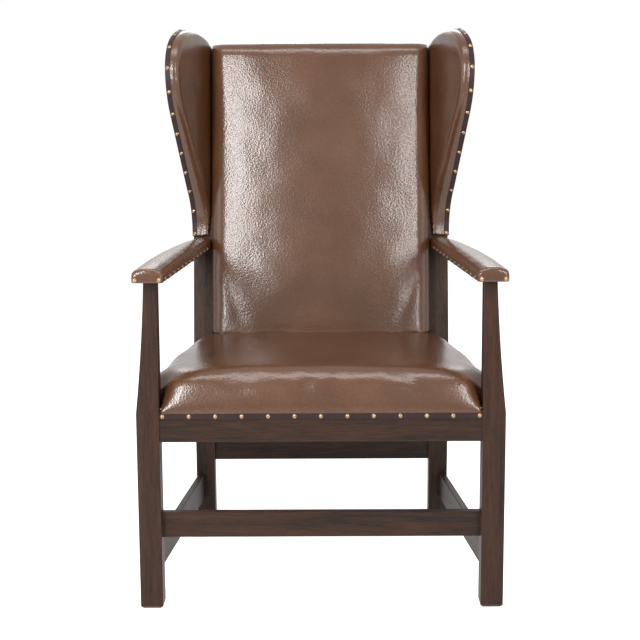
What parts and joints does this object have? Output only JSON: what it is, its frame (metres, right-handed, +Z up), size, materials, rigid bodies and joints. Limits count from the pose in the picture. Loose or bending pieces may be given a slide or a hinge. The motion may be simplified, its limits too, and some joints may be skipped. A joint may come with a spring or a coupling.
{
  "type": "wing armchair",
  "caption": "High-backed wing armchair: stained box-stretcher frame, sprung seat, raked back, flared wings and slim padded arms in nailed brown leather.",
  "frame": {"origin": "on the floor, at the middle of the chair's width and depth", "axes": "+Z up; the chair faces -Y; +X is the sitter's left"},
  "size_m": [0.6932, 0.753, 1.0886],
  "materials": {
    "stained_beech": "dark stained, satin",
    "brown_leather": "semi-gloss hide",
    "band_leather": "dark banding, satin",
    "brass_nail": "aged, domed",
    "spring_steel": "drawn wire",
    "stuffing": "hair and wadding",
    "hessian": "plain woven jute",
    "webbing": "woven webbing",
    "dust_cloth": "black cotton"
  },
  "bodies": {
    "root": {"front_leg_left": "stained_beech", "front_leg_right": "stained_beech", "rear_leg_left": "stained_beech", "rear_leg_right": "stained_beech", "front_seat_rail": "stained_beech", "rear_seat_rail": "stained_beech", "side_seat_rail_left": "stained_beech", "side_seat_rail_right": "stained_beech", "front_stretcher": "stained_beech", "rear_stretcher": "stained_beech", "side_stretcher_left": "stained_beech", "side_stretcher_right": "stained_beech", "back_top_rail": "stained_beech", "back_lower_rail": "stained_beech", "corner_blocks": "stained_beech", "corner_block_screws": "spring_steel", "arm_board_left": "stained_beech", "arm_board_right": "stained_beech", "arm_stuffing_left": "stuffing", "arm_stuffing_right": "stuffing", "arm_leather_left": "brown_leather", "arm_leather_right": "brown_leather", "arm_nails_left": "brass_nail", "arm_nails_right": "brass_nail", "wing_frame_left": "stained_beech", "wing_frame_right": "stained_beech", "wing_padding_left": "stuffing", "wing_padding_right": "stuffing", "wing_leather_left": "brown_leather", "wing_leather_right": "brown_leather", "wing_outer_leather_left": "brown_leather", "wing_outer_leather_right": "brown_leather", "wing_band_left": "band_leather", "wing_band_right": "band_leather", "wing_nails_left": "brass_nail", "wing_nails_right": "brass_nail", "seat_springs": "spring_steel", "seat_hessian": "hessian", "seat_stuffing": "stuffing", "seat_leather": "brown_leather", "seat_band_front": "band_leather", "seat_band_left": "band_leather", "seat_band_right": "band_leather", "seat_nails_front": "brass_nail", "seat_nails_left": "brass_nail", "seat_nails_right": "brass_nail", "dust_cover": "dust_cloth", "back_webbing": "webbing", "back_hessian": "hessian", "back_stuffing": "stuffing", "back_leather": "brown_leather", "back_outer_leather": "brown_leather", "back_nails": "brass_nail"}
  },
  "joints": []
}
